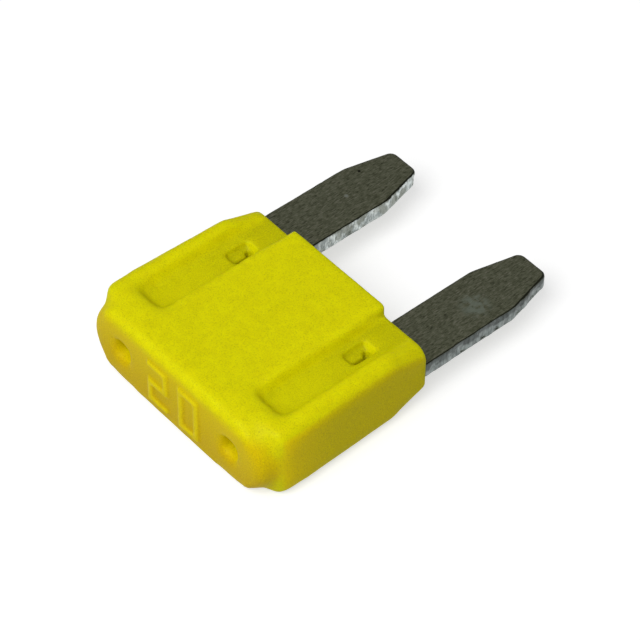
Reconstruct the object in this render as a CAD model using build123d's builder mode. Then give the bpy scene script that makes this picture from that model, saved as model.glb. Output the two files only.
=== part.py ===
"""Mini blade fuse, lying flat on its broad face.

Two real pieces: the one-piece moulded housing and the one-piece stamped fuse element.
X runs across the fuse, +Y runs along the blades towards their tips, +Z is up.
The origin is the middle of the underside of the whole fuse. Millimetres throughout.
"""
import math
import os
from build123d import *

os.makedirs("parts", exist_ok=True)

# ---- overall sizes -------------------------------------------------------------
housing_length = 9.03
blade_reach = 7.52
thickness = 3.90
mid_z = thickness / 2
figure_relief = 0.13
head_y = (figure_relief - housing_length - blade_reach) / 2
mouth_y = head_y + housing_length
tip_y = mouth_y + blade_reach

# ---- housing body: a flat block, drafted towards the mouth, all edges rounded ----
shoulder_width = 11.80
waist_width = 11.38
mouth_width = 11.18
edge_radius = 0.75
corner_radius = 0.65
shoulder_edge_radius = 0.15
end_cap_depth = 0.80
shoulder_y = head_y + end_cap_depth
lead_in_length = 1.85
waist_y = mouth_y - lead_in_length
mouth_edge_radius = 0.62

# ---- housing end cap: full-round ends, proud of the shoulders --------------------
cap_width = 11.28
cap_edge_radius = 0.50
cap_overlap = 1.2

# ---- side channels either side of the raised centre panel ------------------------
floor_height = 1.30
channel_inner_x = 3.18
channel_outer_x = 4.64
wall_draft = 18
channel_depth = thickness / 2 - floor_height
wall_run = channel_depth * math.tan(math.radians(wall_draft))
panel_half_width = channel_inner_x - wall_run
channel_end_y = mouth_y - 7.02
channel_foot_radius = 0.14
panel_edge_radius = 0.28

# ---- stake windows in the channel floors -----------------------------------------
window_x = 3.80
window_width = 0.78
window_length = 1.24
window_y = mouth_y - 2.20
window_floor_height = 1.02
punch_slot_width = 0.26
punch_slot_length = 1.00
punch_slot_leg = 0.50
punch_slot_height = 0.60

# ---- probe windows through the end wall ------------------------------------------
probe_x = 3.50
probe_width = 0.90
probe_height = 0.96

# ---- raised rating figures on the end face ----------------------------------------
figure_width = 1.24
figure_height = 2.30
figure_stroke = 0.23
figure_x = 1.00

# ---- inside of the housing ---------------------------------------------------------
chamber_half_width = 2.30
chamber_half_height = 1.08
chamber_end_y = head_y + 1.0
slot_inner_x = 2.20
slot_outer_x = 5.02
slot_end_y = head_y + 0.80

# ---- fuse element -------------------------------------------------------------------
blade_width = 2.80
blade_thickness = 0.80
blade_pitch = 8.28
blade_x = blade_pitch / 2
tip_flat = 1.68
tip_taper = 2.31
tip_corner_radius = 0.40
tip_edge_chamfer = 0.09
root_outer_x = 5.00
element_end_y = slot_end_y + 0.02
stake_hole_width = 0.90
stake_hole_length = 1.30
stake_clearance = 0.02
link_thickness = 0.30
link_width = 0.62
link_radius = 1.05
link_y = mouth_y - 4.60
bridge_half_height = 0.55
bridge_reach = 0.70


def figure_bars(digit):
    """Centres and sizes of the bars of one plain block figure."""
    across = figure_width
    rise = (figure_height - figure_stroke) / 2
    side = (figure_width - figure_stroke) / 2
    level_bars = {"2": (-1, 0, 1), "0": (-1, 1)}[digit]
    upright_bars = {"2": ((1, 1), (-1, -1)), "0": ((1, 1), (-1, -1), (1, -1), (-1, 1))}[digit]
    bars = [((0, rise * level), (across, figure_stroke)) for level in level_bars]
    bars += [((side * sx, rise / 2 * sz), (figure_stroke, rise)) for sx, sz in upright_bars]
    return bars


# ================================ housing =============================================
with BuildPart() as housing:
    # drafted block with rounded long edges and rounded shoulders
    with BuildSketch(Plane.XZ.offset(-shoulder_y)):
        with Locations((0, mid_z)):
            RectangleRounded(shoulder_width, thickness, edge_radius)
    with BuildSketch(Plane.XZ.offset(-waist_y)):
        with Locations((0, mid_z)):
            RectangleRounded(waist_width, thickness, edge_radius)
    loft(ruled=True)
    with BuildSketch(Plane.XY) as plan:
        with Locations((0, shoulder_y)):
            Rectangle(shoulder_width, 2 * housing_length, align=(Align.CENTER, Align.MIN))
        fillet(plan.vertices().sort_by(Axis.Y)[:2], corner_radius)
    extrude(amount=thickness, mode=Mode.INTERSECT)
    fillet(housing.faces().sort_by(Axis.Y)[0].edges(), shoulder_edge_radius)

    # lead-in: the rims run down to the channel floors at the mouth
    with BuildSketch(Plane.XZ.offset(-waist_y)):
        with Locations((0, mid_z)):
            RectangleRounded(waist_width, thickness, edge_radius)
    with BuildSketch(Plane.XZ.offset(-mouth_y)):
        with Locations((0, mid_z)):
            RectangleRounded(mouth_width, 2 * floor_height, mouth_edge_radius)
    loft(ruled=True)

    # end cap with full-round ends, running back into the block
    with BuildSketch(Plane.XZ.offset(-head_y)):
        with Locations((0, mid_z)):
            SlotOverall(cap_width, thickness - 0.001)
    extrude(amount=-(end_cap_depth + cap_overlap))
    fillet(housing.faces().sort_by(Axis.Y)[0].edges(), cap_edge_radius)

    # raised centre panel, full thickness right up to the mouth
    with BuildSketch(Plane.XZ.offset(-mouth_y)):
        with Locations((0, mid_z)):
            Rectangle(2 * panel_half_width, thickness)
    extrude(amount=lead_in_length + 0.5)

    # side channels, on both broad faces, open at the mouth
    channel_width = channel_outer_x - channel_inner_x
    channel_length = mouth_y - channel_end_y
    for side in (-1, 1):
        for face in (-1, 1):
            with BuildSketch(Plane.XY.offset(mid_z + face * floor_height)):
                with Locations((side * (channel_inner_x + channel_width / 2), mouth_y - channel_length / 2)):
                    Rectangle(channel_width, channel_length)
            extrude(amount=face * channel_depth, taper=-wall_draft, mode=Mode.SUBTRACT)

    # soft moulded edges: the feet of the channel walls, then the tops of the panel
    channel_feet = [
        edge
        for edge in housing.edges()
        if abs(abs(edge.center().Z - mid_z) - floor_height) < 0.01
        and channel_end_y - 0.01 < edge.center().Y < mouth_y - 0.01
        and abs(edge.center().X) < channel_outer_x + 0.01
        and edge.length > 1.0
    ]
    fillet(channel_feet, channel_foot_radius)
    panel_tops = [
        edge
        for edge in housing.edges().filter_by(Axis.Y)
        if abs(abs(edge.center().X) - panel_half_width) < 0.01
        and abs(abs(edge.center().Z - mid_z) - thickness / 2) < 0.01
    ]
    fillet(panel_tops, panel_edge_radius)

    # stake windows, sunk from the channel floors
    for side in (-1, 1):
        for face in (-1, 1):
            with BuildSketch(Plane.XY.offset(mid_z + face * window_floor_height)):
                with Locations((side * window_x, window_y)):
                    Rectangle(window_width, window_length)
            extrude(amount=face * thickness, mode=Mode.SUBTRACT)
            with BuildSketch(Plane.XY.offset(mid_z + face * punch_slot_height)):
                with Locations((side * window_x + (window_width - punch_slot_width) / 2, window_y)):
                    Rectangle(punch_slot_width, punch_slot_length)
                leg_x = side * window_x + (window_width - punch_slot_leg) / 2
                with Locations((leg_x, window_y + (punch_slot_length - punch_slot_width) / 2)):
                    Rectangle(punch_slot_leg, punch_slot_width)
            extrude(amount=face * channel_depth, mode=Mode.SUBTRACT)

    # chamber round the fusible link, open at the mouth
    with BuildSketch(Plane.XZ.offset(-mouth_y)):
        with Locations((0, mid_z)):
            Rectangle(2 * chamber_half_width, 2 * chamber_half_height)
    extrude(amount=mouth_y - chamber_end_y, mode=Mode.SUBTRACT)

    # blade slots, a close fit on the faces of the blades
    for side in (-1, 1):
        with BuildSketch(Plane.XZ.offset(-mouth_y)):
            with Locations((side * (slot_inner_x + slot_outer_x) / 2, mid_z)):
                Rectangle(slot_outer_x - slot_inner_x, blade_thickness)
        extrude(amount=mouth_y - slot_end_y, mode=Mode.SUBTRACT)

    # probe windows through the end wall, onto the ends of the blades
    for side in (-1, 1):
        with BuildSketch(Plane.XZ.offset(-head_y)):
            with Locations((side * probe_x, mid_z)):
                Rectangle(probe_width, probe_height)
        extrude(amount=-(slot_end_y - head_y + 0.01), mode=Mode.SUBTRACT)

    # stakes: housing plastic pressed through the holes in the blades
    for side in (-1, 1):
        with BuildSketch(Plane.XY.offset(mid_z - blade_thickness / 2)):
            with Locations((side * window_x, window_y)):
                Rectangle(stake_hole_width - 2 * stake_clearance, stake_hole_length - 2 * stake_clearance)
        extrude(amount=blade_thickness)

    # plain raised rating figures on the end face
    for digit, centre in (("2", -figure_x), ("0", figure_x)):
        with BuildSketch(Plane.XZ.offset(-head_y)):
            for (bar_x, bar_z), (bar_width, bar_height) in figure_bars(digit):
                with Locations((centre + bar_x, mid_z + bar_z)):
                    Rectangle(bar_width, bar_height)
        extrude(amount=figure_relief)
housing.part.label = "housing"
export_step(housing.part, "parts/housing.step")

# ============================== fuse element ============================================
with BuildPart() as fuse_element:
    for side in (-1, 1):
        # blade outside the housing, tapered to a blunt tip
        with BuildSketch(Plane.XY.offset(mid_z - blade_thickness / 2)):
            with BuildLine():
                Polyline(
                    (side * blade_x - blade_width / 2, mouth_y),
                    (side * blade_x - blade_width / 2, tip_y - tip_taper),
                    (side * blade_x - tip_flat / 2, tip_y),
                    (side * blade_x + tip_flat / 2, tip_y),
                    (side * blade_x + blade_width / 2, tip_y - tip_taper),
                    (side * blade_x + blade_width / 2, mouth_y),
                    close=True,
                )
            make_face()
        extrude(amount=blade_thickness)

    # rounded tip corners, then the coined tip edges
    tip_corners = fuse_element.edges().filter_by(Axis.Z).filter_by_position(Axis.Y, tip_y - 0.01, tip_y + 0.01)
    fillet(tip_corners, tip_corner_radius)
    tip_faces = fuse_element.faces().filter_by(Axis.Y).sort_by(Axis.Y)[-2:]
    chamfer(tip_faces.edges().filter_by(Axis.X), tip_edge_chamfer)

    for side in (-1, 1):
        # narrower root of the blade inside the housing
        root_inner_x = blade_x - blade_width / 2
        with BuildSketch(Plane.XY.offset(mid_z - blade_thickness / 2)):
            with Locations((side * (root_inner_x + root_outer_x) / 2, (mouth_y + element_end_y) / 2)):
                Rectangle(root_outer_x - root_inner_x, mouth_y - element_end_y)
            with Locations((side * (root_inner_x - bridge_reach / 2), link_y)):
                Rectangle(bridge_reach, 2 * bridge_half_height)
        extrude(amount=blade_thickness)
        with BuildSketch(Plane.XY.offset(mid_z - blade_thickness)):
            with Locations((side * window_x, window_y)):
                Rectangle(stake_hole_width, stake_hole_length)
        extrude(amount=2 * blade_thickness, mode=Mode.SUBTRACT)

    # fusible link: a thin coined strip, bowed between the two blades
    with BuildSketch(Plane.XY.offset(mid_z - link_thickness / 2)):
        with Locations((0, link_y)):
            Circle(link_radius + link_width / 2)
            Circle(link_radius - link_width / 2, mode=Mode.SUBTRACT)
            Rectangle(4 * link_radius, 2 * link_radius, align=(Align.CENTER, Align.MAX), mode=Mode.SUBTRACT)
        for side in (-1, 1):
            with Locations((side * (link_radius + root_inner_x) / 2, link_y)):
                Rectangle(root_inner_x - link_radius + link_width, link_width)
    extrude(amount=link_thickness)
fuse_element.part.label = "fuse_element"
export_step(fuse_element.part, "parts/fuse_element.step")
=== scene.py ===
# %% [markdown]
# # A small automotive blade fuse
# The fuse is two pieces: a yellow moulded housing, and one strip of stamped zinc that makes both
# blades and the thin link between them. The CAD solids fix every size and place. This file gives
# them the soft edges, sheared faces and finishes that the real pieces have.

# %% Load the CAD frame
import math

import bmesh
import bpy
from mathutils import Matrix, Vector


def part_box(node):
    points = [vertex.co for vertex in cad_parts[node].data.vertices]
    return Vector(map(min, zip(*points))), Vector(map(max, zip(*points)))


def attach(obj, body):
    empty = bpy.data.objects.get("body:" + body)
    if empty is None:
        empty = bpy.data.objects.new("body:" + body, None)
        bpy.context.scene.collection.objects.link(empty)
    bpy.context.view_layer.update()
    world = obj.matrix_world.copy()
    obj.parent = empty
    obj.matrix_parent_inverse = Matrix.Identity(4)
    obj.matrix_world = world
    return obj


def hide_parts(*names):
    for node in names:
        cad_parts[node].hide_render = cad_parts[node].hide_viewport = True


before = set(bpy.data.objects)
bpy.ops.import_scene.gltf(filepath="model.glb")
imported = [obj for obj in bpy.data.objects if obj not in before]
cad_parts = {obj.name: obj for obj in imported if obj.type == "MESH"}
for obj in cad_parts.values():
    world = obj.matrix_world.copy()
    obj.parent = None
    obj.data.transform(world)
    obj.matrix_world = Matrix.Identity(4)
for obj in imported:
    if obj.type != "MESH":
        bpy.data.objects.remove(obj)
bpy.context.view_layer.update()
MM = 0.001

# %% [markdown]
# ## The camera
# A long lens from a little over a hundred millimetres away keeps the two blades nearly parallel.
# The camera looks down on the broad face, from the side of the head with the raised figures.

# %% Place the camera
AZIMUTH, ELEVATION, ROLL = (math.radians(a) for a in (48.81, 47.03, 0.59))
AIM = Vector((0.015, -0.225, 1.298)) * MM
DISTANCE = 126.62 * MM
FOCAL_LENGTH, SENSOR_WIDTH = 167.01, 36

back = Vector((
    math.sin(AZIMUTH) * math.cos(ELEVATION),
    -math.cos(AZIMUTH) * math.cos(ELEVATION),
    math.sin(ELEVATION),
))
level = Vector((math.cos(AZIMUTH), math.sin(AZIMUTH), 0))
right = level * math.cos(ROLL) + back.cross(level) * math.sin(ROLL)
turn = Matrix((right, back.cross(right), back)).transposed().to_4x4()

lens = bpy.data.cameras.new("studio_camera")
lens.lens = FOCAL_LENGTH
lens.sensor_width = SENSOR_WIDTH
lens.clip_start = 5 * MM
lens.clip_end = 10
camera = bpy.data.objects.new("studio_camera", lens)
camera.matrix_world = Matrix.Translation(AIM + back * DISTANCE) @ turn
bpy.context.scene.collection.objects.link(camera)
bpy.context.scene.camera = camera
bpy.context.scene.view_settings.view_transform = "Standard"
print("camera at mm", [round(v / MM, 1) for v in camera.location])


# %% [markdown]
# ## Tools used for every finish
# Colours are written as the hex values a painter would pick, and one function turns them to
# linear light. One function adds a node with its settings and links, so that a material or a
# shape rule reads as a list of what it does.

# %% Helpers for colours and nodes
def linear(hex_colour):
    """An sRGB hex colour as linear RGBA."""
    channels = [int(hex_colour[i:i + 2], 16) / 255 for i in (1, 3, 5)]
    return [c / 12.92 if c <= 0.04045 else ((c + 0.055) / 1.055) ** 2.4 for c in channels] + [1]


def add(tree, kind, sockets=None, **settings):
    """Adds a node. A socket gets a value, or a link from a node or from one of its outputs."""
    node = tree.nodes.new(kind)
    for name, value in settings.items():
        setattr(node, name, value)
    for key, value in (sockets or {}).items():
        shown = [s for s in node.inputs if s.enabled]
        socket = shown[key] if isinstance(key, int) else next(s for s in shown if s.name == key)
        if isinstance(value, bpy.types.Node):
            value = next(s for s in value.outputs if s.enabled)
        if isinstance(value, bpy.types.NodeSocket):
            tree.links.new(value, socket)
        else:
            socket.default_value = value
    return node


def product(tree, *factors):
    """All the factors multiplied together."""
    total = factors[0]
    for factor in factors[1:]:
        total = add(tree, "ShaderNodeMath", {0: total, 1: factor}, operation="MULTIPLY")
    return total


def step(tree, value, start, end, unit=MM):
    """Rises smoothly from 0 at start to 1 at end, and works downwards where end is the lower.

    Start and end are in millimetres, or plain numbers where the unit is 1.
    """
    span = {"Value": value, "From Min": start * unit, "From Max": end * unit}
    return add(tree, "ShaderNodeMapRange", span, interpolation_type="SMOOTHSTEP")


def mixed(tree, share, under, over):
    """The under colour, with a share of the over colour laid on it."""
    return add(tree, "ShaderNodeMix", {"Factor": share, "A": under, "B": over}, data_type="RGBA")


def new_material(name):
    """A material with an empty node tree, and the piece's own coordinates in it."""
    material = bpy.data.materials.new(name)
    material.use_nodes = True
    tree = material.node_tree
    tree.nodes.clear()
    place = add(tree, "ShaderNodeTexCoord").outputs["Object"]
    return material, tree, place


def grain(tree, place, size_mm, detail=2.0, roughness=0.5):
    """Cloudy noise whose features are about size_mm across."""
    look = {"Vector": place, "Scale": 1 / (size_mm * MM), "Detail": detail, "Roughness": roughness}
    return add(tree, "ShaderNodeTexNoise", look).outputs["Fac"]


# %% [markdown]
# ## Where things are on the housing
# The colours and the shape rules below speak of the same few places: the two ends, the side
# channels, the stake windows in them, and the probe windows in the end face. The ends and the
# middle height are read from the frame. The rest are the housing's own sizes, in millimetres. The
# housing is the same left and right, and top and bottom, so most rules measure from its middle.

# %% Places on the housing
low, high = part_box("housing")
MID_Z = (low.z + high.z) / 2 / MM
HEAD_Y = low.y / MM
MOUTH_Y = high.y / MM
RIM_X = 5.0
CHANNEL_X = (3.20, 4.60)
CHANNEL_END = HEAD_Y + 2.14
CHANNEL_FLOOR = 1.30
PROBE_X = 3.50
WINDOW_X = 3.80
WINDOW_Y = MOUTH_Y - 2.20


def measures(tree, place):
    """The distances and the facing that the colour rules are written with."""
    axis = add(tree, "ShaderNodeSeparateXYZ", {"Vector": place}).outputs
    across = add(tree, "ShaderNodeMath", {0: axis["X"]}, operation="ABSOLUTE")
    from_middle = add(tree, "ShaderNodeMath", {0: axis["Z"], 1: MID_Z * MM}, operation="SUBTRACT")
    height = add(tree, "ShaderNodeMath", {0: from_middle}, operation="ABSOLUTE")
    normal = add(tree, "ShaderNodeNewGeometry").outputs["Normal"]
    facing = add(tree, "ShaderNodeSeparateXYZ", {"Vector": normal}).outputs
    return {
        "across": across,
        "along": axis["Y"],
        "up": axis["Z"],
        "height": height,
        "facing x": facing["X"],
        "facing y": facing["Y"],
        "facing z": facing["Z"],
    }


print("housing from", round(HEAD_Y, 2), "to", round(MOUTH_Y, 2), "mm, mid height", round(MID_Z, 2))

# %% [markdown]
# ## Housing plastic: dyed polyamide, injection moulded
# The housing is a clear yellow engineering plastic, with the dye right through it, lightly
# clouded. On top of the dye, the sides get a painted warm shade, the end face a painted warm
# light, the head a painted shade low down, and the raised figures a painted highlight.

# %% The dye, with painted light and shade
def dye_and_painted_light(tree, place, at):
    """Clouded yellow, with painted warm shade on the sides and painted warm light on the end face.
    """
    cloud = step(tree, grain(tree, place, 0.5, 4), 0.3, 0.7, unit=1)
    colour = mixed(tree, cloud, linear("#E1DB00"), linear("#E8E300"))

    # painted warm shade: rim faces turned sideways get a darker, more orange copy of the yellow
    sideways = add(tree, "ShaderNodeMath", {0: at["facing x"]}, operation="ABSOLUTE")
    on_rim = step(tree, at["across"], RIM_X - 0.1, RIM_X + 0.1)
    side = product(tree, step(tree, sideways, 0.80, 1.00, unit=1), on_rim)
    along_side = step(tree, at["along"], HEAD_Y + 1.2, HEAD_Y + 4.5)
    side_shade_colour = mixed(tree, along_side, linear("#EDD400"), linear("#DAC900"))
    colour = mixed(tree, side, colour, side_shade_colour)

    # painted warm light: the end face gets a more orange copy of the yellow
    head = step(tree, at["along"], HEAD_Y + 1.20, HEAD_Y + 0.20)
    end_face_warm_light = product(tree, head, step(tree, at["height"], 1.85, 1.05))
    colour = mixed(tree, end_face_warm_light, colour, linear("#E0C600"))
    # painted shade: the head is coloured darker low down
    low_head_shade = product(tree, head, step(tree, at["up"], 3.4, 0.6), 0.8)
    colour = mixed(tree, low_head_shade, colour, linear("#CDAA00"))
    # painted highlight: the raised figures are coloured lighter
    figures = step(tree, at["along"], HEAD_Y + 0.12, HEAD_Y + 0.05)
    return mixed(tree, product(tree, figures, 0.55), colour, linear("#F0DE10"))


# %% [markdown]
# ## Channels and windows
# The channel floors are coloured duller and greener, most of all towards the mouth. In each stake
# window the low floor gets a painted shade and the wall on the mouth side a painted highlight, and
# the plastic round the probe windows gets a painted glow.

# %% Channel colour and painted window light
def channel_tint_and_window_light(tree, at, colour):
    """Duller channel floors, and painted shade, highlight and glow at the windows."""
    channel_floor_area = product(
        tree,
        step(tree, at["across"], CHANNEL_X[0] - 0.15, CHANNEL_X[0] + 0.15),
        step(tree, at["across"], CHANNEL_X[1] + 0.20, CHANNEL_X[1] - 0.30),
        step(tree, at["height"], CHANNEL_FLOOR + 0.30, CHANNEL_FLOOR + 0.02),
        step(tree, at["along"], CHANNEL_END - 0.1, CHANNEL_END + 0.5),
    )
    colour = mixed(tree, product(tree, channel_floor_area, 0.3), colour, linear("#C0BC00"))
    to_mouth = step(tree, at["along"], HEAD_Y + 3.0, MOUTH_Y)
    colour = mixed(tree, product(tree, channel_floor_area, to_mouth, 0.5), colour, linear("#BAB600"))

    window_middle = {0: at["along"], 1: WINDOW_Y * MM}
    off_window = add(tree, "ShaderNodeMath", window_middle, operation="SUBTRACT")
    off_window = add(tree, "ShaderNodeMath", {0: off_window}, operation="ABSOLUTE")
    in_window = product(
        tree,
        step(tree, off_window, 0.85, 0.70),
        step(tree, at["across"], WINDOW_X - 0.60, WINDOW_X - 0.50),
        step(tree, at["across"], WINDOW_X + 0.60, WINDOW_X + 0.50),
    )
    # painted shade on the low floor of each stake window
    window_floor_shade = product(tree, in_window, step(tree, at["height"], 1.06, 0.88), 0.6)
    colour = mixed(tree, window_floor_shade, colour, linear("#A39E00"))
    # painted highlight on the window wall that faces the head end
    to_light = step(tree, at["facing y"], -0.25, -0.75, unit=1)
    colour = mixed(tree, product(tree, in_window, to_light, 0.45), colour, linear("#F6F200"))

    # painted glow in the plastic round the probe windows
    probe_window_glow = product(
        tree,
        step(tree, at["along"], HEAD_Y + 0.15, HEAD_Y + 0.40),
        step(tree, at["along"], HEAD_Y + 2.2, HEAD_Y + 1.8),
        step(tree, at["across"], PROBE_X - 0.60, PROBE_X - 0.45),
        step(tree, at["across"], PROBE_X + 0.60, PROBE_X + 0.45),
        step(tree, at["height"], 0.62, 0.50),
        0.35,
    )
    return mixed(tree, probe_window_glow, colour, linear("#FFF000"))


# %% [markdown]
# ## The moulded skin
# Light goes a fraction of a millimetre into the plastic before it comes back, so edges glow and
# faces look soft. The mould was spark eroded, which leaves a fine satin grain: small flecks, a
# fine relief, and hardly any shine.

# %% Plastic material
def yellow_plastic():
    """Dyed translucent polyamide with a spark-eroded skin."""
    material, tree, place = new_material("moulded_polyamide_yellow")
    at = measures(tree, place)
    colour = channel_tint_and_window_light(tree, at, dye_and_painted_light(tree, place, at))

    fleck = grain(tree, place, 0.055, 2)
    dark = product(tree, step(tree, fleck, 0.50, 0.75, unit=1), 0.26)
    colour = mixed(tree, dark, colour, linear("#6B6500"))
    light = product(tree, step(tree, fleck, 0.50, 0.25, unit=1), 0.35)
    colour = mixed(tree, light, colour, linear("#FFFA00"))

    skin = add(tree, "ShaderNodeBump", {
        "Height": grain(tree, place, 0.08, 3),
        "Strength": 0.4,
        "Distance": 0.02 * MM,
    })
    shader = add(tree, "ShaderNodeBsdfPrincipled", {
        "Base Color": colour,
        "Roughness": 0.55,
        "IOR": 1.53,
        "Specular IOR Level": 0.08,
        "Subsurface Weight": 0.8,
        "Subsurface Radius": (1.0, 0.85, 0.05),
        "Subsurface Scale": 0.8 * MM,
        "Normal": skin,
    })
    add(tree, "ShaderNodeOutputMaterial", {"Surface": shader})
    return material


plastic = yellow_plastic()
print("made", plastic.name, "with", len(plastic.node_tree.nodes), "nodes")

# %% [markdown]
# ## Fuse element: the rolled faces of the zinc
# The blades are cut from rolled zinc sheet, which dulls to a dark grey-green in air. Rolling
# leaves faint lines along the blades. Handling leaves a pale scuff on one blade, and a pit and a
# bright nick on the other.

# %% Rolled faces
BLADE_WIDTH = 2.80
blade_top_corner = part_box("fuse_element")[1] / MM
BLADE_X = blade_top_corner.x - BLADE_WIDTH / 2
BLADE_TOP = blade_top_corner.z
SCUFF_AT = (BLADE_X + 0.22, MOUTH_Y + 3.85, BLADE_TOP)
PIT_AT = (-BLADE_X - 0.80, MOUTH_Y + 5.50, BLADE_TOP)
NICK_AT = (-BLADE_X, MOUTH_Y + 4.05, BLADE_TOP)


def spot(tree, place, centre, radius, fade):
    """A round patch about one place, solid inside the radius and faded out beyond it."""
    middle = [v * MM for v in centre]
    away = add(tree, "ShaderNodeVectorMath", {0: place, 1: middle}, operation="DISTANCE")
    return step(tree, away, radius + fade, radius)


def rolled(tree, place, lines):
    """Mottled tarnish with rolling lines, and the marks of handling."""
    mottle = grain(tree, place, 0.20, 5, 0.75)
    mottled = step(tree, mottle, 0.30, 0.70, unit=1)
    colour = mixed(tree, mottled, linear("#6E7159"), linear("#8B8E76"))
    bright_lines = step(tree, lines, 0.50, 0.72, unit=1)
    colour = mixed(tree, bright_lines, colour, linear("#A09F8B"))
    dark_lines = step(tree, lines, 0.48, 0.28, unit=1)
    colour = mixed(tree, dark_lines, colour, linear("#525440"))

    worn = step(tree, grain(tree, place, 0.30, 3, 0.6), 0.35, 0.58, unit=1)
    scuff = product(tree, spot(tree, place, SCUFF_AT, 0.30, 0.60), worn, 0.7)
    colour = mixed(tree, scuff, colour, linear("#A3AE9E"))
    colour = mixed(tree, spot(tree, place, PIT_AT, 0.04, 0.05), colour, linear("#1E1E16"))
    nick = product(tree, spot(tree, place, NICK_AT, 0.05, 0.08), 0.7)
    return mixed(tree, nick, colour, linear("#B9BFB4"))


# %% [markdown]
# ## Fuse element: the sheared sides
# The faces that the punch sheared carry upright streaks. Those between the two blades are bright,
# with a few dull patches. The outer sides are darker, as painted shade, and carry a dark smooth
# cut above and below it the paler rough part where the metal broke away, with a wavering line
# between them.

# %% Sheared sides
def sheared(tree, place, at, streak):
    """Streaked metal, bright between the blades and with painted shade on the outer sides."""
    streaked = step(tree, streak, 0.35, 0.65, unit=1)
    inner_bright = mixed(tree, streaked, linear("#8F9796"), linear("#DDE4E2"))
    patch = step(tree, grain(tree, place, 0.75, 3), 0.55, 0.42, unit=1)
    inner_bright = mixed(tree, product(tree, patch, 0.7), inner_bright, linear("#6C7062"))

    waver = add(tree, "ShaderNodeMath", {0: patch, 1: 0.18 * MM}, operation="MULTIPLY")
    line_at = add(tree, "ShaderNodeMath", {0: at["up"], 1: waver}, operation="ADD")
    below = step(tree, line_at, MID_Z + 0.22, MID_Z + 0.02)
    cut = mixed(tree, streaked, linear("#3F4442"), linear("#5B6260"))
    broken = mixed(tree, streaked, linear("#6F7674"), linear("#98A09E"))
    outer_bands_and_shade = mixed(tree, product(tree, below, 0.85), cut, broken)

    # painted shade: the outer sides of both blades get the darker colours
    outer = step(tree, at["across"], BLADE_X - 0.2, BLADE_X + 0.4)
    return mixed(tree, outer, inner_bright, outer_bands_and_shade)


# %% [markdown]
# ## The zinc as a whole
# The rolled colour shows where the metal faces up or down, and the sheared colour where it faces
# sideways. The drawn-over edges between the two are coloured darker.

# %% Zinc material
def tarnished_zinc():
    """Rolled zinc gone dull in air, with brighter sheared edges."""
    material, tree, place = new_material("stamped_zinc_tarnished")
    at = measures(tree, place)
    flat = add(tree, "ShaderNodeMath", {0: at["facing z"]}, operation="ABSOLUTE")
    on_side = step(tree, flat, 0.60, 0.30, unit=1)
    along = add(tree, "ShaderNodeMapping", {"Vector": place, "Scale": (1.0, 0.22, 1.0)})
    lines = grain(tree, along, 0.055, 3, 0.6)
    upright = add(tree, "ShaderNodeMapping", {"Vector": place, "Scale": (1.0, 1.0, 0.35)})
    streak = grain(tree, upright, 0.17, 4, 0.65)

    colour = rolled(tree, place, lines)
    edge = product(
        tree,
        step(tree, flat, 0.985, 0.90, unit=1),
        step(tree, flat, 0.35, 0.60, unit=1),
    )
    colour = mixed(tree, edge, colour, linear("#34352A"))
    colour = mixed(tree, on_side, colour, sheared(tree, place, at, streak))

    relief = add(tree, "ShaderNodeMix", {"Factor": on_side, "A": lines, "B": streak})
    skin = add(tree, "ShaderNodeBump", {"Height": relief, "Strength": 0.6, "Distance": 0.02 * MM})
    shader = add(tree, "ShaderNodeBsdfPrincipled", {
        "Base Color": colour,
        "Metallic": 1.0,
        "Roughness": 0.45,
        "Normal": skin,
    })
    add(tree, "ShaderNodeOutputMaterial", {"Surface": shader})
    return material


zinc = tarnished_zinc()
print("made", zinc.name, "with", len(zinc.node_tree.nodes), "nodes")

# %% [markdown]
# ## Moulded and sheared surfaces
# The CAD solids have crisp edges. A real moulding has soft ones and slightly uneven faces, and a
# real stamping has edges drawn over by the punch and torn streaks on its sheared sides. Each CAD
# solid is welded, covered by an even skin of small faces, smoothed, and then moved a few
# hundredths of a millimetre inwards by a shape rule. The work is done in millimetres. These three
# functions hold what the two rules share: their named inputs, their noise, and their last steps.

# %% What the shape rules share
def start_rule(name):
    """An empty shape rule with its named inputs, and the place of each point in millimetres."""
    tree = bpy.data.node_groups.new(name, "GeometryNodeTree")
    for label, kind in (
        ("Geometry", "NodeSocketGeometry"),
        ("Depth", "NodeSocketFloat"),
        ("Patch Size", "NodeSocketFloat"),
        ("Seed", "NodeSocketFloat"),
        ("Low Corner", "NodeSocketVector"),
        ("High Corner", "NodeSocketVector"),
        ("Finish", "NodeSocketMaterial"),
    ):
        tree.interface.new_socket(label, in_out="INPUT", socket_type=kind)
    tree.interface.new_socket("Geometry", in_out="OUTPUT", socket_type="NodeSocketGeometry")
    given = add(tree, "NodeGroupInput").outputs
    place = add(tree, "GeometryNodeInputPosition")
    return tree, given, place


def rule_noise(tree, given, place, stretch):
    """Noise of the rule's own patch size and seed."""
    squeezed = add(tree, "ShaderNodeVectorMath", {0: place, 1: stretch}, operation="MULTIPLY")
    scale = add(tree, "ShaderNodeMath", {0: 1.0, 1: given["Patch Size"]}, operation="DIVIDE")
    look = {"Vector": squeezed, "W": given["Seed"], "Scale": scale, "Detail": 3.0}
    return add(tree, "ShaderNodeTexNoise", look, noise_dimensions="4D").outputs["Fac"]


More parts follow.
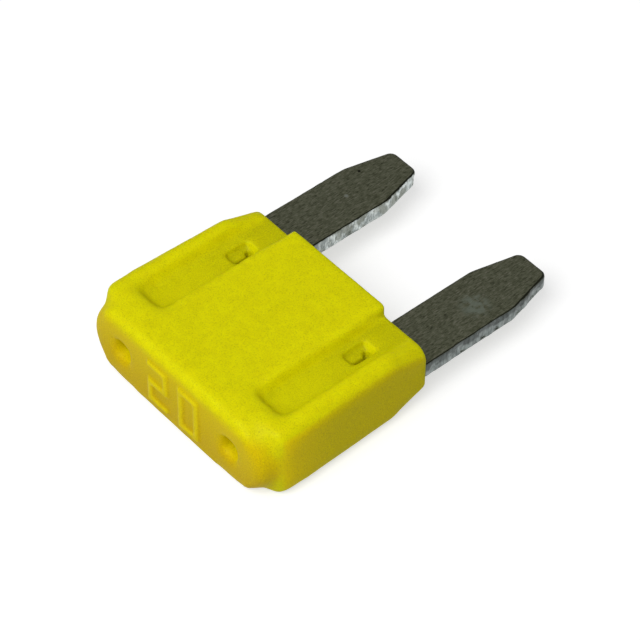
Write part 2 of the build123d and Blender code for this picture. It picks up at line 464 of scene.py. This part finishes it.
def end_rule(tree, given, place, share):
    """Moves each point inwards by its share of the depth, and keeps it inside the CAD box."""
    depth = product(tree, share, given["Depth"], -1.0)
    normal = add(tree, "GeometryNodeInputNormal")
    push = add(tree, "ShaderNodeVectorMath", {0: normal, "Scale": depth}, operation="SCALE")
    kept = add(tree, "ShaderNodeVectorMath", {0: place, 1: push}, operation="ADD")
    for corner, limit in (("Low Corner", "MAXIMUM"), ("High Corner", "MINIMUM")):
        kept = add(tree, "ShaderNodeVectorMath", {0: kept, 1: given[corner]}, operation=limit)
    worn = add(tree, "GeometryNodeSetPosition", {"Geometry": given["Geometry"], "Position": kept})
    real = add(tree, "GeometryNodeRealizeInstances", {"Geometry": worn})
    done = add(tree, "GeometryNodeSetMaterial", {"Geometry": real, "Material": given["Finish"]})
    add(tree, "NodeGroupOutput", {"Geometry": done})
    return tree


# %% [markdown]
# ## The rule for the moulding
# Places are blurred over the skin, so corners flow. The shoulders flow most, into the end cap.
# The walls of the channels flow more than the faces do, and the stake windows hardly at all. The
# mouth stays crisp, and so does the end face apart from the rims of its probe windows.

# %% Moulded skin
def moulded_skin():
    """Slightly uneven faces, and shoulders that flow into the end cap."""
    tree, given, place = start_rule("moulded_skin")
    axis = add(tree, "ShaderNodeSeparateXYZ", {"Vector": place}).outputs
    across = add(tree, "ShaderNodeMath", {0: axis["X"]}, operation="ABSOLUTE")
    shoulder = product(
        tree,
        step(tree, across, CHANNEL_X[1], RIM_X + 0.2, unit=1),
        step(tree, axis["Y"], HEAD_Y + 2.6, HEAD_Y + 1.7, unit=1),
    )
    behind_face = product(
        tree,
        step(tree, axis["Y"], HEAD_Y + 0.35, HEAD_Y + 0.80, unit=1),
        step(tree, axis["Y"], MOUTH_Y - 0.3, MOUTH_Y - 1.1, unit=1),
    )
    probe = product(
        tree,
        step(tree, across, PROBE_X - 0.9, PROBE_X - 0.6, unit=1),
        step(tree, across, PROBE_X + 0.9, PROBE_X + 0.6, unit=1),
        step(tree, axis["Y"], HEAD_Y + 1.0, HEAD_Y + 0.7, unit=1),
    )
    off_window = add(tree, "ShaderNodeMath", {0: axis["Y"], 1: WINDOW_Y}, operation="SUBTRACT")
    off_window = add(tree, "ShaderNodeMath", {0: off_window}, operation="ABSOLUTE")
    elsewhere = product(tree, behind_face, step(tree, off_window, 0.5, 1.2, unit=1))
    in_window = step(tree, off_window, 1.0, 0.7, unit=1)
    outer_wall = product(
        tree,
        behind_face,
        step(tree, across, CHANNEL_X[1] - 0.25, CHANNEL_X[1] + 0.05, unit=1),
        step(tree, across, CHANNEL_X[1] + 0.65, CHANNEL_X[1] + 0.45, unit=1),
    )
    end_wall = product(
        tree,
        step(tree, across, CHANNEL_X[1] + 0.45, CHANNEL_X[1] + 0.15, unit=1),
        step(tree, axis["Y"], CHANNEL_END - 0.7, CHANNEL_END - 0.4, unit=1),
        step(tree, axis["Y"], CHANNEL_END + 0.7, CHANNEL_END + 0.4, unit=1),
    )
    flowing = place
    for times, where in (
        (14, elsewhere),
        (30, outer_wall),
        (50, end_wall),
        (5, in_window),
        (60, shoulder),
        (36, probe),
    ):
        flowing = add(tree, "GeometryNodeBlurAttribute", {
            "Value": flowing,
            "Iterations": times,
            "Weight": where,
        }, data_type="FLOAT_VECTOR")
    return end_rule(tree, given, flowing, rule_noise(tree, given, place, (1, 1, 1)))


# %% [markdown]
# ## The rule for the stamping
# A punch cuts clean at first and then tears the metal. So only the sides move, in patches that
# noise sets and draws out along Z, and more towards the lower edge.

# %% Sheared sides of the strip
def sheared_sides():
    """Torn, uneven sides that run in a little towards the lower edge, as a punch leaves them."""
    tree, given, place = start_rule("sheared_sides")
    height = add(tree, "ShaderNodeSeparateXYZ", {"Vector": place}).outputs["Z"]
    normal = add(tree, "GeometryNodeInputNormal")
    facing = add(tree, "ShaderNodeSeparateXYZ", {"Vector": normal}).outputs["Z"]
    flat = add(tree, "ShaderNodeMath", {0: facing}, operation="ABSOLUTE")
    torn = product(
        tree,
        step(tree, rule_noise(tree, given, place, (1, 1, 0.3)), 0.62, 0.36, unit=1),
        step(tree, flat, 0.85, 0.45, unit=1),
        step(tree, height, MID_Z + 0.55, MID_Z - 0.15, unit=1),
    )
    return end_rule(tree, given, place, torn)


# %% [markdown]
# ## From CAD solid to finished piece
# Both pieces are made the same way, so one function does it. The modifiers are worked out once and
# kept as a plain mesh, which is then brought back to metres.

# %% Make a finished piece
def finished_piece(node, name, material, cell, smoothing, rule, share, inputs):
    """A closed mesh with soft edges and a real surface, made from one CAD solid.

    The skin is laid in cells of the given size, smoothed so many times, worked by the shape rule,
    and thinned to the given share of its faces.
    """
    soup = bmesh.new()
    soup.from_mesh(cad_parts[node].data)
    bmesh.ops.remove_doubles(soup, verts=soup.verts, dist=0.0005 * MM)
    bmesh.ops.scale(soup, vec=(1 / MM,) * 3, verts=soup.verts)
    start = bpy.data.meshes.new(name + "_start")
    soup.to_mesh(start)
    soup.free()
    work = bpy.data.objects.new(name + "_start", start)
    bpy.context.scene.collection.objects.link(work)

    skin = work.modifiers.new("even_skin", "REMESH")
    skin.mode = "VOXEL"
    skin.voxel_size = cell
    soft = work.modifiers.new("soft_edges", "SMOOTH")
    soft.factor = 0.5
    soft.iterations = smoothing
    wear = work.modifiers.new("wear", "NODES")
    wear.node_group = rule
    corners = [[v / MM for v in corner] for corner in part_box(node)]
    given = {**inputs, "Low Corner": corners[0], "High Corner": corners[1], "Finish": material}
    for item in rule.interface.items_tree:
        if item.in_out == "INPUT" and item.name in given:
            wear[item.identifier] = given[item.name]
    fewer = work.modifiers.new("fewer_faces", "DECIMATE")
    fewer.ratio = share

    ready = work.evaluated_get(bpy.context.evaluated_depsgraph_get())
    mesh = bpy.data.meshes.new_from_object(ready)
    bpy.data.objects.remove(work)
    mesh.name = name
    mesh.transform(Matrix.Scale(MM, 4))
    mesh.shade_smooth()
    piece = bpy.data.objects.new(name, mesh)
    bpy.context.scene.collection.objects.link(piece)
    mesh.calc_loop_triangles()
    print("made", name, "with", len(mesh.loop_triangles), "triangles")
    return piece


# %% [markdown]
# ## The housing
# The even skin is fine enough to keep the raised figures, the stake windows and the probe windows,
# and coarse enough that smoothing rounds their edges as a worn mould does.

# %% Make the housing
housing = finished_piece(
    "housing",
    "moulded_housing",
    plastic,
    cell=0.062,
    smoothing=7,
    rule=moulded_skin(),
    share=0.55,
    inputs={"Depth": 0.03, "Patch Size": 0.8, "Seed": 3.0},
)
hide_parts("housing")
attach(housing, "root")

# %% [markdown]
# ## The fuse element
# One piece makes both blades, their roots inside the housing, and the link. The shape rule only
# works on the sheared sides, with features drawn out along Z as the punch leaves them.

# %% Make the fuse element
element = finished_piece(
    "fuse_element",
    "stamped_element",
    zinc,
    cell=0.048,
    smoothing=6,
    rule=sheared_sides(),
    share=0.75,
    inputs={"Depth": 0.11, "Patch Size": 0.45, "Seed": 7.0},
)
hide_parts("fuse_element")
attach(element, "root")

# %% [markdown]
# ## Studio
# A plain pale floor fills the picture behind the fuse and keeps its soft shadow. The room is an
# even grey, and one large soft lamp stands over the head end, which is why the rounded edges
# between the top and the end face are the brightest.

# %% Floor, room and lamp
# lengths are in metres, and the lamp's power is in watts
FLOOR_HALF = 0.6
FLOOR_GLOW = 0.60
ROOM_LIGHT = 0.26
LAMP_WIDTH, LAMP_POWER, LAMP_AWAY = 0.16, 0.44, 0.25
LAMP_DIRECTION = Vector((0.18, -0.56, 0.81)).normalized()


def white_floor():
    """Matt white card that shows white to the camera and in reflections."""
    material, tree, _ = new_material("white_card")
    matt = add(tree, "ShaderNodeBsdfDiffuse", {"Color": linear("#C9C9C9")})
    path = add(tree, "ShaderNodeLightPath").outputs
    seen = path["Is Camera Ray"]
    for ray in ("Is Glossy Ray", "Is Transmission Ray"):
        seen = add(tree, "ShaderNodeMath", {0: seen, 1: path[ray]}, operation="ADD")
    glow = add(tree, "ShaderNodeEmission", {"Strength": product(tree, seen, FLOOR_GLOW)})
    both = add(tree, "ShaderNodeAddShader", {0: matt, 1: glow})
    add(tree, "ShaderNodeOutputMaterial", {"Surface": both})
    return material


sheet = bmesh.new()
bmesh.ops.create_grid(sheet, x_segments=1, y_segments=1, size=FLOOR_HALF)
floor_mesh = bpy.data.meshes.new("studio_floor")
sheet.to_mesh(floor_mesh)
sheet.free()
floor_mesh.materials.append(white_floor())
floor = bpy.data.objects.new("studio_floor", floor_mesh)
bpy.context.scene.collection.objects.link(floor)

room = bpy.data.worlds.new("plain_room")
room.use_nodes = True
room.node_tree.nodes.clear()
air = add(room.node_tree, "ShaderNodeBackground", {"Color": (1, 1, 1, 1), "Strength": ROOM_LIGHT})
add(room.node_tree, "ShaderNodeOutputWorld", {"Surface": air})
bpy.context.scene.world = room

lamp_data = bpy.data.lights.new("soft_lamp", "AREA")
lamp_data.shape = "DISK"
lamp_data.size = LAMP_WIDTH
lamp_data.energy = LAMP_POWER
lamp = bpy.data.objects.new("soft_lamp", lamp_data)
facing_down = LAMP_DIRECTION.to_track_quat("Z", "Y").to_matrix().to_4x4()
lamp.matrix_world = Matrix.Translation(LAMP_DIRECTION * LAMP_AWAY) @ facing_down
bpy.context.scene.collection.objects.link(lamp)
print("lamp at mm", [round(v / MM) for v in lamp.location])
